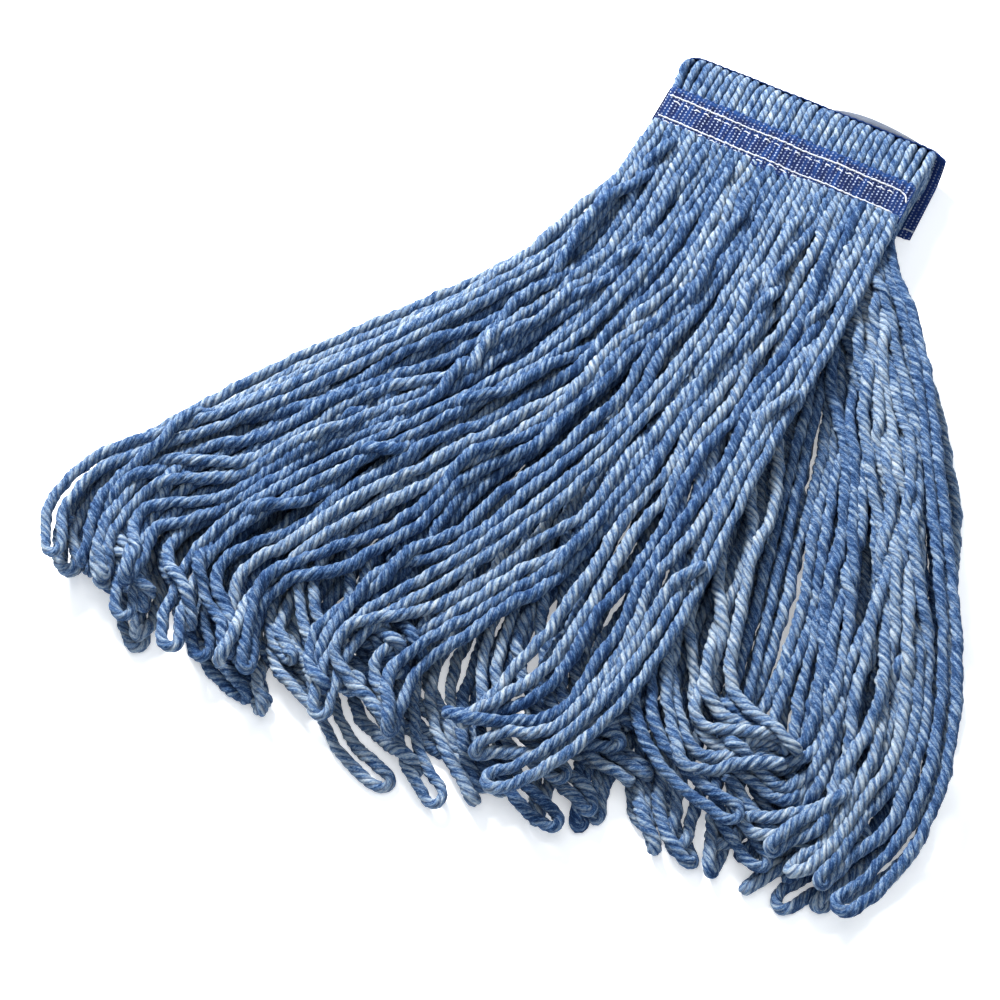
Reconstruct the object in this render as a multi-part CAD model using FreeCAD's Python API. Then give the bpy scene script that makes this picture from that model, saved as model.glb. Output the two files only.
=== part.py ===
"""Looped-end wet mop head, lying flat.  Millimetres, +Z up.

The origin is on the headband's rear face, midway along it, and the face lies on the ground.
+X runs along the headband, +Y points to the fold of the yarn, and the strands lie towards -Y.
Each yarn goes over the fold and makes a front strand and a rear strand.  Neighbouring strands
join in a loop at their far ends.
"""
import FreeCAD
import Part

import math
import os

V = FreeCAD.Vector

# ---------------------------------------------------------------- driving dimensions (mm)
YARN_D = 4.4               # yarn, four plies
YARNS_ACROSS = 32          # yarns side by side in the headband
PITCH = 4.85               # their spacing
LAYERS_PER_HALF = 3        # yarns on top of each other in each half of the headband

TAPE_T = 1.2               # headband tape
TAPE_H = 31.75             # height of the front tape (1 1/4 in)
TAPE_HALF_LENGTH = 78.5
REAR_LEFT, REAR_RIGHT = -80.0, 86.0   # ends of the rear tape, longer than the front one
SLIT = 0.8                 # between the front and the rear half of the yarn
LAP = 0.1                  # tape to yarn

FOLD_Y = 28.5              # centre line of the fold
FOLD_R = SLIT / 2 + LAYERS_PER_HALF * YARN_D + LAP + TAPE_T   # outside of the tape, 14.9
FOLD_Z = FOLD_R
HINGE_DEG = 27.0           # the rear tape's lip ends here, and the front half opens about it
REAR_LOWER_Y = -9.5
BAND_END_Y = -23.2         # where the yarns leave the headband
FREE_START_Y = -25.0       # where the free strands begin

THREAD_D = 0.8
LABEL_X = (12.0, 68.0)
LABEL_Z = (8.0, 22.5)
LABEL_T = 0.5

PILE_PITCH_Z = 4.9         # height of one layer of strands on the next, at the headband
CROWN = 0.22               # how much higher the pile stands half way along the strands
HEAP = 0.12                # how much higher it stands again at its right-hand end
HEAP_AT = (150.0, -300.0)
HEAP_SIZE = 110.0
STRAND_REACH = 430.0

OPENING = 0.24             # the gap inside a loop's tip is this much wider than the mean

# Each layer of strands, from the ground up, holds four locks of four loops.  A lock follows its
# guide, a list of (x, y), then curls through so many degrees, leftwards where positive, at such a
# radius.  Last come how far each loop's tip goes on, and the spacing of the strands at the tips.
LOCKS = {
    "rear_outer": {
        "a": ([(-58, -25), (-60, -79), (-75, -133), (-98, -186), (-122, -239), (-145, -292),
               (-162, -336), (-174, -369)], 85, 40, (-12, -4, 4, 12), 7.1),
        "b": ([(-19, -25), (-20, -79), (-28, -136), (-38, -193), (-48, -250), (-56, -306),
               (-61, -350), (-64, -379)], 100, 40, (-12, -2, 6, 12), 7.2),
        "c": ([(19, -25), (22, -79), (28, -136), (37, -193), (46, -250), (54, -306),
               (59, -346), (61, -372)], 55, 42, (-8, -2, 2, 8), 7.2),
        "d": ([(58, -25), (67, -51), (88, -90), (110, -136), (130, -186), (147, -238),
               (160, -290), (168, -336), (172, -362)], -50, 42, (2, -4, 4, -8), 7.1),
    },
    "rear_middle": {
        "a": ([(-58, -25), (-60, -79), (-71, -134), (-88, -189), (-104, -244), (-119, -299),
               (-129, -345), (-136, -376)], 95, 40, (-12, -4, 4, 12), 7.1),
        "b": ([(-19, -25), (-19, -79), (-20, -137), (-22, -195), (-23, -253), (-23, -308),
               (-22, -352), (-20, -384)], 75, 42, (-12, 2, 0, 10), 7.2),
        "c": ([(19, -25), (28, -78), (45, -133), (63, -188), (79, -243), (91, -298),
               (98, -346), (104, -376)], 40, 50, (-6, 2, -4, 8), 7.1),
        "d": ([(58, -25), (66, -50), (95, -80), (126, -118), (149, -162), (169, -210),
               (187, -260), (199, -308), (203, -350)], -62, 42, (6, 8, 2, -6), 7.0),
    },
    "rear_inner": {
        "a": ([(-58, -25), (-61, -77), (-84, -128), (-114, -177), (-144, -226), (-173, -276),
               (-200, -322), (-220, -356)], 80, 40, (-14, -6, 6, 14), 7.0),
        "b": ([(-19, -25), (-20, -79), (-34, -134), (-54, -188), (-74, -242), (-91, -296),
               (-103, -342), (-109, -369)], 90, 40, (-12, 0, -2, 12), 7.2),
        "c": ([(19, -25), (20, -79), (22, -137), (22, -195), (20, -253), (18, -308),
               (19, -346), (22, -369)], 85, 42, (-12, -4, 4, 8), 7.1),
        "d": ([(58, -25), (66, -52), (82, -94), (98, -146), (113, -200), (124, -254),
               (132, -306), (138, -346)], 75, 40, (-14, -4, 4, 10), 7.1),
    },
    "front_inner": {
        "a": ([(-58, -25), (-60, -76), (-81, -128), (-111, -178), (-142, -228), (-172, -278),
               (-198, -324), (-220, -355)], 90, 38, (-16, -6, 6, 16), 7.0),
        "b": ([(-19, -25), (-20.5, -79), (-33, -133), (-54, -186), (-80, -237), (-106, -288),
               (-127, -333), (-141, -362)], 85, 40, (-12, -4, 6, 10), 7.0),
        "c": ([(19, -25), (19.5, -79), (15, -137), (9, -195), (5, -252), (4, -306),
               (10, -346)], 85, 44, (-10, -2, 6, 4), 7.0),
        "d": ([(58, -25), (67, -51), (88, -88), (112, -132), (136, -180), (156, -230),
               (170, -282), (175, -322)], -95, 40, (14, 4, -6, -18), 7.0),
    },
    "front_middle": {
        "a": ([(-58, -25), (-60, -78), (-74, -131), (-98, -182), (-126, -231), (-153, -281),
               (-178, -329), (-196, -366)], 70, 40, (-12, 6, -2, 12), 7.0),
        "b": ([(-19, -25), (-19, -79), (-28, -134), (-44, -189), (-62, -243), (-78, -297),
               (-91, -343)], 105, 38, (-12, -6, 8, 10), 7.0),
        "c": ([(19, -25), (22, -79), (34, -133), (50, -187), (64, -241), (76, -294),
               (91, -336)], 80, 44, (-10, 0, 2, 6), 7.0),
        "d": ([(58, -25), (66, -51), (92, -84), (121, -124), (145, -170), (167, -219),
               (186, -270), (199, -318), (204, -352)], -60, 42, (8, 4, -6, -12), 7.0),
    },
    "front_outer": {
        "a": ([(-58, -25), (-60, -80), (-69, -134), (-92, -186), (-120, -236), (-153, -284),
               (-189, -327), (-218, -359)], 85, 38, (-16, -8, 2, 8), 7.0),
        "b": ([(-19, -25), (-20, -79), (-24, -135), (-41, -190), (-67, -243), (-95, -293),
               (-122, -340), (-143, -374)], 80, 40, (-14, -2, 4, 10), 7.0),
        "c": ([(19, -25), (20, -79), (17, -135), (9, -190), (1, -244), (-15, -297),
               (-39, -343), (-63, -373)], 75, 40, (-12, -2, 4, 6), 7.0),
        "d": ([(58, -25), (60, -78), (60, -133), (56, -187), (52, -241), (49, -294),
               (44, -346), (37, -380)], -50, 42, (4, 6, -2, -8), 7.0),
    },
}

# The loops that reach furthest in their locks are nodes of their own.
SINGLE = {
    "front_outer": {"a": 0, "b": 0, "c": 1, "d": 3},
    "front_middle": {"a": 1, "b": 0, "c": 0, "d": 3},
    "front_inner": {"a": 0, "b": 0, "c": 0, "d": 3},
    "rear_inner": {"a": 0, "c": 0, "d": 0},
    "rear_middle": {"b": 0},
    "rear_outer": {"b": 0, "d": 3},
}

shapes = {}
shortest_radius = []


def unit(v):
    """v at length 1."""
    return V(v).normalize()


def rounded_wire(points):
    """Straight runs through points, joined by tangent arcs as large as the runs allow."""
    points = [V(*p) for p in points]
    edges = []
    start = points[0]
    for before, corner, after in zip(points, points[1:], points[2:]):
        run_in, run_out = corner - before, after - corner
        half_turn = run_in.getAngle(run_out) / 2
        reach = 0.45 * min(run_in.Length, run_out.Length)
        shortest_radius.append(reach / math.tan(half_turn))
        first = corner - unit(run_in) * reach
        last = corner + unit(run_out) * reach
        to_middle = unit(unit(run_out) - unit(run_in))
        radius = shortest_radius[-1]
        middle = corner + to_middle * (radius / math.cos(half_turn) - radius)
        edges.append(Part.LineSegment(start, first).toShape())
        edges.append(Part.Arc(first, middle, last).toShape())
        start = last
    edges.append(Part.LineSegment(start, points[-1]).toShape())
    return Part.Wire(edges)


def tube(points, diameter):
    """A round yarn or thread along rounded_wire(points)."""
    wire = rounded_wire(points)
    ahead = V(*points[1]) - V(*points[0])
    ring = Part.Wire(Part.makeCircle(diameter / 2, V(*points[0]), ahead))
    solid = wire.makePipeShell([ring], True, False)
    if solid.Volume < 0:
        solid.reverse()
    wanted = math.pi * diameter ** 2 / 4 * wire.Length
    if not solid.isValid() or abs(solid.Volume / wanted - 1) > 0.01:
        print("check tube", points[0], solid.isValid(), solid.Volume / wanted)
    return solid


def curled(guide, turn, radius):
    """The guide and the arc it goes on round, leftwards where the turn is positive."""
    steps = max(1, round(abs(turn) / 30))
    (before_x, before_y), (x, y) = guide[-2:]
    heading = math.atan2(y - before_y, x - before_x)
    step = math.radians(turn) / steps
    chord = 2 * radius * math.sin(abs(step) / 2)
    found = list(guide)
    for i in range(steps):
        heading += step / 2 if i == 0 else step
        x += chord * math.cos(heading)
        y += chord * math.sin(heading)
        found.append((x, y))
    return found


def normals(guide):
    """The sideways direction, to the guide's right in +X, at each of its points."""
    found = []
    for i in range(len(guide)):
        a = guide[max(i - 1, 0)]
        b = guide[min(i + 1, len(guide) - 1)]
        length = math.hypot(b[0] - a[0], b[1] - a[1])
        found.append((-(b[1] - a[1]) / length, (b[0] - a[0]) / length))
    found[0] = (1.0, 0.0)
    return found


def fanned(guide, tip_spacing):
    """The spacing of the strands, and how open their loops are, at each point of a guide."""
    gone = [0.0]
    for a, b in zip(guide, guide[1:]):
        gone.append(gone[-1] + math.hypot(b[0] - a[0], b[1] - a[1]))
    found = []
    for distance in gone:
        u = distance / gone[-1]
        found.append((PITCH + (tip_spacing - PITCH) * u * u * (3 - 2 * u), OPENING * u * u))
    return found


def height(x, y, layer):
    """Height of a layer's strands over (x, y).  The pile is crowned, and heaped at its right."""
    reach = min(math.hypot(x, y - FREE_START_Y) / STRAND_REACH, 1.0)
    heap = ((x - HEAP_AT[0]) ** 2 + (y - HEAP_AT[1]) ** 2) / HEAP_SIZE ** 2
    rise = 1 + CROWN * math.sin(math.pi * reach) + HEAP * math.exp(-heap)
    return YARN_D / 2 + layer * PILE_PITCH_Z * rise


def loop_route(guide, number, tip, tip_spacing, layer):
    """The route of one of a lock's four loops: out along one strand, round, and back."""
    across = normals(guide)
    sides = []
    for strand in (2 * number, 2 * number + 1):
        side = []
        for (x, y), (nx, ny), (spread, opening) in zip(guide, across, fanned(guide, tip_spacing)):
            middle = (number - 1.5) * 2 * spread
            offset = middle + (strand % 2 - 0.5) * spread * (1 + opening)
            side.append((x + nx * offset, y + ny * offset))
        sides.append(side)
    left, right = sides
    nx, ny = across[-1]
    fx, fy = ny, -nx
    for side, sign in ((left, -1), (right, 1)):
        x, y = side[-1]
        side[-1] = (x + fx * tip, y + fy * tip)
        side.append((x + fx * (tip + 15) + sign * 0.3 * nx, y + fy * (tip + 15) + sign * 0.3 * ny))
    return [(x, y, height(x, y, layer)) for x, y in left + right[::-1]]


def band_yarn(radius, front):
    """One yarn of the headband at x = 0: its straight part and its part of the fold."""
    z = FOLD_Z + radius if front else FOLD_Z - radius
    turn = math.radians(HINGE_DEG + (1.5 if front else 0.0))
    stop = V(0, FOLD_Y + radius * math.cos(turn), FOLD_Z + radius * math.sin(turn))
    bend = (math.pi / 2 + turn) / 2 if front else (turn - math.pi / 2) / 2
    middle = V(0, FOLD_Y + radius * math.cos(bend), FOLD_Z + radius * math.sin(bend))
    corner = V(0, FOLD_Y, z)
    free_end = V(0, BAND_END_Y, z)
    run = Part.LineSegment(free_end, corner).toShape()
    arc = Part.Arc(corner, middle, stop).toShape()
    ring = Part.Wire(Part.makeCircle(YARN_D / 2, free_end, V(0, 1, 0)))
    return Part.Wire([run, arc]).makePipeShell([ring], True, False)


def row(solid):
    """The same yarn at every place across the headband."""
    copies = []
    for i in range(YARNS_ACROSS):
        x = (i - (YARNS_ACROSS - 1) / 2) * PITCH
        copies.append(solid.translated(V(x, 0, 0)))
    return Part.makeCompound(copies)


def plate(corners, z, thickness):
    """A flat sheet with the given (x, y) corners and its lower face at z."""
    outline = [V(x, y, z) for x, y in corners]
    face = Part.Face(Part.makePolygon(outline + outline[:1]))
    return face.extrude(V(0, 0, thickness))


# ---------------------------------------------------------------- headband yarns
for layer, name in enumerate(("inner", "middle", "outer")):
    radius = SLIT / 2 + (layer + 0.5) * YARN_D
    shapes["band_yarns_front_" + name] = row(band_yarn(radius, True))
    shapes["band_yarns_rear_" + name] = row(band_yarn(radius, False))

# ---------------------------------------------------------------- headband tapes
FRONT_Z = 2 * FOLD_R - TAPE_T
front_corners = [
    (-TAPE_HALF_LENGTH, -22.0),
    (TAPE_HALF_LENGTH, -23.9),
    (TAPE_HALF_LENGTH, -23.9 + TAPE_H),
    (-TAPE_HALF_LENGTH, -22.0 + TAPE_H),
]
front_tape = plate(front_corners, FRONT_Z, TAPE_T)
upright = [e for e in front_tape.Edges if abs(e.Vertexes[0].X - e.Vertexes[-1].X) < 0.01
           and abs(e.Vertexes[0].Y - e.Vertexes[-1].Y) < 0.01]
shapes["front_tape"] = front_tape.makeFillet(3.0, upright)

lip = math.radians(HINGE_DEG)


def around_fold(radius, angle):
    """A point of the fold's section, in the plane x = REAR_LEFT."""
    return V(REAR_LEFT, FOLD_Y + radius * math.cos(angle), FOLD_Z + radius * math.sin(angle))


middle_angle = (lip - math.pi / 2) / 2
inner_r = FOLD_R - TAPE_T
rear_section = Part.Wire([
    Part.LineSegment(V(REAR_LEFT, REAR_LOWER_Y, 0), V(REAR_LEFT, FOLD_Y, 0)).toShape(),
    Part.Arc(V(REAR_LEFT, FOLD_Y, 0), around_fold(FOLD_R, middle_angle),
             around_fold(FOLD_R, lip)).toShape(),
    Part.LineSegment(around_fold(FOLD_R, lip), around_fold(inner_r, lip)).toShape(),
    Part.Arc(around_fold(inner_r, lip), around_fold(inner_r, middle_angle),
             V(REAR_LEFT, FOLD_Y, TAPE_T)).toShape(),
    Part.LineSegment(V(REAR_LEFT, FOLD_Y, TAPE_T), V(REAR_LEFT, REAR_LOWER_Y, TAPE_T)).toShape(),
    Part.LineSegment(V(REAR_LEFT, REAR_LOWER_Y, TAPE_T), V(REAR_LEFT, REAR_LOWER_Y, 0)).toShape(),
])
shapes["rear_tape"] = Part.Face(rear_section).extrude(V(REAR_RIGHT - REAR_LEFT, 0, 0))

# ---------------------------------------------------------------- stitching
THREAD_Z = 2 * FOLD_R - THREAD_D / 2   # sunk into the tape, level with its face


def seam(drop):
    """(x, y) points of a line drop below the front tape's upper edge."""
    places = (-76, -55, -33, -12, 10, 31, 53, 73)
    wander = (0, 0.5, -0.4, 0.3, -0.5, 0.4, -0.2, 0.0)
    found = []
    for x, w in zip(places, wander):
        edge = -22.0 + TAPE_H - (x + TAPE_HALF_LENGTH) * 1.9 / (2 * TAPE_HALF_LENGTH)
        found.append((x, edge - drop + w, THREAD_Z))
    return found


upper, lower = seam(8.5), seam(25.0)
upper += [(76, upper[-1][1] - 2.5, THREAD_Z), (77, upper[-1][1] - 6.5, THREAD_Z)]
lower += [(75.5, lower[-1][1] - 1.6, THREAD_Z), (76.8, lower[-1][1] - 4.0, THREAD_Z)]
TAIL_D = 0.7
tail = [(x, lower[7][1] + y, 2 * FOLD_R - TAIL_D / 2)
        for x, y in ((69.0, -1.8), (66.5, -1.4), (63.5, -1.8), (60.5, -3.4))]


def press_in(points, diameter):
    """A thread along points, and the front tape with the furrow that the thread is sunk in."""
    furrow = Part.Face(rounded_wire(points).makeOffset2D(diameter / 2 + 0.05))
    furrow = furrow.translated(V(0, 0, -diameter / 2 - 0.02)).extrude(V(0, 0, diameter + 0.1))
    shapes["front_tape"] = shapes["front_tape"].cut(furrow)
    return tube(points, diameter)


shapes["stitch_front_upper"] = press_in(upper, THREAD_D)
shapes["stitch_front_lower"] = press_in(lower, THREAD_D)
shapes["thread_tail"] = press_in(tail, TAIL_D)


def dashes(line, drop, step, long, last):
    """Separate short stitches drop below a line of stitching, sunk into the front tape."""
    solids = []
    x = line[0][0] + 4
    while x < last:
        for a, b in zip(line, line[1:]):
            if a[0] <= x <= b[0]:
                y = a[1] + (b[1] - a[1]) * (x - a[0]) / (b[0] - a[0]) - drop
                solids.append(Part.makeCylinder(0.3, long, V(x, y, 2 * FOLD_R - 0.3), V(1, 0, 0)))
                furrow = Part.makeBox(long + 0.1, 0.7, 0.7, V(x - 0.05, y - 0.35, 2 * FOLD_R - 0.62))
                shapes["front_tape"] = shapes["front_tape"].cut(furrow)
                break
        x += step
    return Part.makeCompound(solids)


shapes["stitch_front_upper_under"] = dashes(upper, 3.4, 6.5, 4.6, 66)
shapes["stitch_front_lower_under"] = dashes(lower, 2.6, 7.5, 4.8, 54)

lip_stitch_angle = math.radians(20.0)
lip_y = FOLD_Y + (FOLD_R + THREAD_D / 2) * math.cos(lip_stitch_angle)
lip_z = FOLD_Z + (FOLD_R + THREAD_D / 2) * math.sin(lip_stitch_angle)
lip_length = REAR_RIGHT - REAR_LEFT - 6
shapes["stitch_rear_lip"] = Part.makeCylinder(
    THREAD_D / 2, lip_length, V(REAR_LEFT + 3, lip_y, lip_z), V(1, 0, 0))
end_stitches = []
for x, long in ((REAR_LEFT + 0.3, 1.2), (TAPE_HALF_LENGTH + 0.8, 5.8)):
    end_stitches.append(Part.makeCylinder(
        THREAD_D / 2, long, V(x, REAR_LOWER_Y + 6, TAPE_T + THREAD_D / 2), V(1, 0, 0)))
shapes["stitch_rear_lower"] = Part.makeCompound(end_stitches)

# ---------------------------------------------------------------- label
label_y = FOLD_Y + FOLD_R + 0.3
shapes["label_hem"] = Part.makeBox(
    LABEL_X[1] - LABEL_X[0], 2.3, 2.4, V(LABEL_X[0], FOLD_Y + 13.3, 5.3))
shapes["label_tag"] = Part.makeBox(
    LABEL_X[1] - LABEL_X[0], LABEL_T, LABEL_Z[1] - LABEL_Z[0], V(LABEL_X[0], label_y, LABEL_Z[0]))

# ---------------------------------------------------------------- free strands
yarn_length = 0.0
for layer, (layer_name, locks) in enumerate(LOCKS.items()):
    for letter, (guide, turn, radius, tips, tip_spacing) in locks.items():
        first_x = math.copysign(12 if abs(guide[0][0]) == 58 else 4, guide[0][0]) * PITCH
        guide = curled([(first_x, FREE_START_Y)] + guide[1:], turn, radius)
        alone = SINGLE.get(layer_name, {}).get(letter)
        together = []
        for number, tip in enumerate(tips):
            route = loop_route(guide, number, tip, tip_spacing, layer)
            solid = tube(route, YARN_D)
            length = solid.Volume / (math.pi * YARN_D ** 2 / 4)
            yarn_length += length
            if number == alone:
                shapes["loop_%s_%s" % (layer_name, letter)] = solid
                print("loop_%s_%s %.0f mm" % (layer_name, letter, length))
            else:
                together.append(solid)
        shapes["lock_%s_%s" % (layer_name, letter)] = Part.makeCompound(together)

print("free yarn %.1f m, smallest radius %.1f mm, nodes %d"
      % (yarn_length / 1000, min(shortest_radius), len(shapes)))

os.makedirs("parts", exist_ok=True)
for name, shape in shapes.items():
    shape.exportStep("parts/" + name + ".step")
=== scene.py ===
"""Looks of the looped-end wet mop head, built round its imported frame.

Tables of places are in millimetres, as in part.py, and MM turns them into the frame's metres.
"""

import itertools
import math

import bpy
import numpy as np
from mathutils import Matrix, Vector


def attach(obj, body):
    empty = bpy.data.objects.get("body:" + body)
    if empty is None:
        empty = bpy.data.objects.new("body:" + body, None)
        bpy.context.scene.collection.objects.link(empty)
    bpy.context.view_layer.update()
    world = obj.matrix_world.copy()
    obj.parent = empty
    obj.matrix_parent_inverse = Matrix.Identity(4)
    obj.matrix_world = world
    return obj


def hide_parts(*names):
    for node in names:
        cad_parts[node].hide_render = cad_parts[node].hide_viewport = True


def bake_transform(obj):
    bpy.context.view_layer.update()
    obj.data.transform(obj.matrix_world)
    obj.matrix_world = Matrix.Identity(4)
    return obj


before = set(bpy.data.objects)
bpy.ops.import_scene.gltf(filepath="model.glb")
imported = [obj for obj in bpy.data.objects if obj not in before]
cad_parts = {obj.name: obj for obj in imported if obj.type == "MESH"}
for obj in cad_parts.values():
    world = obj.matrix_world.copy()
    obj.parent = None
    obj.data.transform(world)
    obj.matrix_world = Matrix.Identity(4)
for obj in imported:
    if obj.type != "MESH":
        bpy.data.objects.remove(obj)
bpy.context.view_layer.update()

MM = 0.001

# ---- dimensions (mm), as in part.py
YARN_D = 4.4
YARNS_ACROSS = 32
PITCH = 4.85
LAYERS_PER_HALF = 3
TAPE_T = 1.2
TAPE_H = 31.75
TAPE_HALF_LENGTH = 78.5
REAR_LEFT, REAR_RIGHT = -80.0, 86.0
SLIT = 0.8
LAP = 0.1
FOLD_Y = 28.5
FOLD_R = SLIT / 2 + LAYERS_PER_HALF * YARN_D + LAP + TAPE_T
FOLD_Z = FOLD_R
HINGE_DEG = 27.0
REAR_LOWER_Y = -9.5
FREE_START_Y = -25.0
LABEL_X = (12.0, 68.0)
LABEL_Z = (8.0, 22.5)
LABEL_T = 0.5
PILE_PITCH_Z = 4.9
CROWN = 0.22
HEAP = 0.12
HEAP_AT = (150.0, -300.0)
HEAP_SIZE = 110.0
STRAND_REACH = 430.0
OPENING = 0.24

# Each layer of strands, from the ground up, holds four locks of four loops: the guide, how many
# degrees it curls through at its end and at what radius, how far each loop's tip goes on, and the
# spacing of the strands at the tips.
LOCKS = {
    "rear_outer": {
        "a": ([(-58, -25), (-60, -79), (-75, -133), (-98, -186), (-122, -239), (-145, -292),
               (-162, -336), (-174, -369)], 85, 40, (-12, -4, 4, 12), 7.1),
        "b": ([(-19, -25), (-20, -79), (-28, -136), (-38, -193), (-48, -250), (-56, -306),
               (-61, -350), (-64, -379)], 100, 40, (-12, -2, 6, 12), 7.2),
        "c": ([(19, -25), (22, -79), (28, -136), (37, -193), (46, -250), (54, -306),
               (59, -346), (61, -372)], 55, 42, (-8, -2, 2, 8), 7.2),
        "d": ([(58, -25), (67, -51), (88, -90), (110, -136), (130, -186), (147, -238),
               (160, -290), (168, -336), (172, -362)], -50, 42, (2, -4, 4, -8), 7.1),
    },
    "rear_middle": {
        "a": ([(-58, -25), (-60, -79), (-71, -134), (-88, -189), (-104, -244), (-119, -299),
               (-129, -345), (-136, -376)], 95, 40, (-12, -4, 4, 12), 7.1),
        "b": ([(-19, -25), (-19, -79), (-20, -137), (-22, -195), (-23, -253), (-23, -308),
               (-22, -352), (-20, -384)], 75, 42, (-12, 2, 0, 10), 7.2),
        "c": ([(19, -25), (28, -78), (45, -133), (63, -188), (79, -243), (91, -298),
               (98, -346), (104, -376)], 40, 50, (-6, 2, -4, 8), 7.1),
        "d": ([(58, -25), (66, -50), (95, -80), (126, -118), (149, -162), (169, -210),
               (187, -260), (199, -308), (203, -350)], -62, 42, (6, 8, 2, -6), 7.0),
    },
    "rear_inner": {
        "a": ([(-58, -25), (-61, -77), (-84, -128), (-114, -177), (-144, -226), (-173, -276),
               (-200, -322), (-220, -356)], 80, 40, (-14, -6, 6, 14), 7.0),
        "b": ([(-19, -25), (-20, -79), (-34, -134), (-54, -188), (-74, -242), (-91, -296),
               (-103, -342), (-109, -369)], 90, 40, (-12, 0, -2, 12), 7.2),
        "c": ([(19, -25), (20, -79), (22, -137), (22, -195), (20, -253), (18, -308),
               (19, -346), (22, -369)], 85, 42, (-12, -4, 4, 8), 7.1),
        "d": ([(58, -25), (66, -52), (82, -94), (98, -146), (113, -200), (124, -254),
               (132, -306), (138, -346)], 75, 40, (-14, -4, 4, 10), 7.1),
    },
    "front_inner": {
        "a": ([(-58, -25), (-60, -76), (-81, -128), (-111, -178), (-142, -228), (-172, -278),
               (-198, -324), (-220, -355)], 90, 38, (-16, -6, 6, 16), 7.0),
        "b": ([(-19, -25), (-20.5, -79), (-33, -133), (-54, -186), (-80, -237), (-106, -288),
               (-127, -333), (-141, -362)], 85, 40, (-12, -4, 6, 10), 7.0),
        "c": ([(19, -25), (19.5, -79), (15, -137), (9, -195), (5, -252), (4, -306),
               (10, -346)], 85, 44, (-10, -2, 6, 4), 7.0),
        "d": ([(58, -25), (67, -51), (88, -88), (112, -132), (136, -180), (156, -230),
               (170, -282), (175, -322)], -95, 40, (14, 4, -6, -18), 7.0),
    },
    "front_middle": {
        "a": ([(-58, -25), (-60, -78), (-74, -131), (-98, -182), (-126, -231), (-153, -281),
               (-178, -329), (-196, -366)], 70, 40, (-12, 6, -2, 12), 7.0),
        "b": ([(-19, -25), (-19, -79), (-28, -134), (-44, -189), (-62, -243), (-78, -297),
               (-91, -343)], 105, 38, (-12, -6, 8, 10), 7.0),
        "c": ([(19, -25), (22, -79), (34, -133), (50, -187), (64, -241), (76, -294),
               (91, -336)], 80, 44, (-10, 0, 2, 6), 7.0),
        "d": ([(58, -25), (66, -51), (92, -84), (121, -124), (145, -170), (167, -219),
               (186, -270), (199, -318), (204, -352)], -60, 42, (8, 4, -6, -12), 7.0),
    },
    "front_outer": {
        "a": ([(-58, -25), (-60, -80), (-69, -134), (-92, -186), (-120, -236), (-153, -284),
               (-189, -327), (-218, -359)], 85, 38, (-16, -8, 2, 8), 7.0),
        "b": ([(-19, -25), (-20, -79), (-24, -135), (-41, -190), (-67, -243), (-95, -293),
               (-122, -340), (-143, -374)], 80, 40, (-14, -2, 4, 10), 7.0),
        "c": ([(19, -25), (20, -79), (17, -135), (9, -190), (1, -244), (-15, -297),
               (-39, -343), (-63, -373)], 75, 40, (-12, -2, 4, 6), 7.0),
        "d": ([(58, -25), (60, -78), (60, -133), (56, -187), (52, -241), (49, -294),
               (44, -346), (37, -380)], -50, 42, (4, 6, -2, -8), 7.0),
    },
}

# The loops that reach furthest in their locks are nodes of their own.
SINGLE = {
    "front_outer": {"a": 0, "b": 0, "c": 1, "d": 3},
    "front_middle": {"a": 1, "b": 0, "c": 0, "d": 3},
    "front_inner": {"a": 0, "b": 0, "c": 0, "d": 3},
    "rear_inner": {"a": 0, "c": 0, "d": 0},
    "rear_middle": {"b": 0},
    "rear_outer": {"b": 0, "d": 3},
}

# ---- yarn facts (mm)
RIDGE_R = 3.1              # to the top of a ply
VALLEY_R = 2.55            # to the groove between plies
LIMP_RIDGE_R = 3.4         # the same for the limp loops, whose yarn is fuller
LIMP_VALLEY_R = 2.8
BAND_RIDGE_R = 2.6         # and for the yarns pressed in the headband
TWIST_PITCH = 20.0         # one turn of a ply round the yarn, S twist
CONTACT = 5.0              # how near the centre lines of two yarns lie
UNDER_TAPE_Y = -19.0       # the strands run on under the tapes to here

# ---- how the loops lie
SWAY = 3.2                 # mm, the declared loops' sway aside of their routes
LAY_STEP = 3.2             # mm between the points of a yarn as it is laid
SETTLE_ROUNDS = 160
SINK = 0.02                # mm a round, the settling yarns' weight
BEND_STIFFNESS = 0.12

# How strongly each layer's yarns are drawn into clumps, from the ground up.
CLUMPING = (0.08, 0.14, 0.22, 0.38, 0.44, 0.50)

# How loose the limp loops of a half lie: the amplitude of their waves (mm), the most that a
# lock's tips curl on (radians), and the share of their way to the lock's guide they are drawn.
REAR_LAY = (2.3, 0.3, 0.06)
FRONT_LAY = (3.1, 0.7, 0.34)
WAVELENGTHS = ((130.0, 1.0), (62.0, 0.65), (33.0, 0.34))     # mm, share of the amplitude

# How far a lock's limp loops lie aside of its guide: halfway along them, and at their tips.
DRIFT = {
    ("rear_outer", "a"): (0, -12),
    ("rear_outer", "b"): (0, 4),
    ("rear_outer", "c"): (38, -8),
    ("rear_middle", "c"): (10, 0),
    ("rear_inner", "a"): (0, -14),
    ("rear_inner", "c"): (4, 8),
    ("front_inner", "a"): (0, -8),
    ("front_middle", "a"): (0, -14),
}

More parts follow.
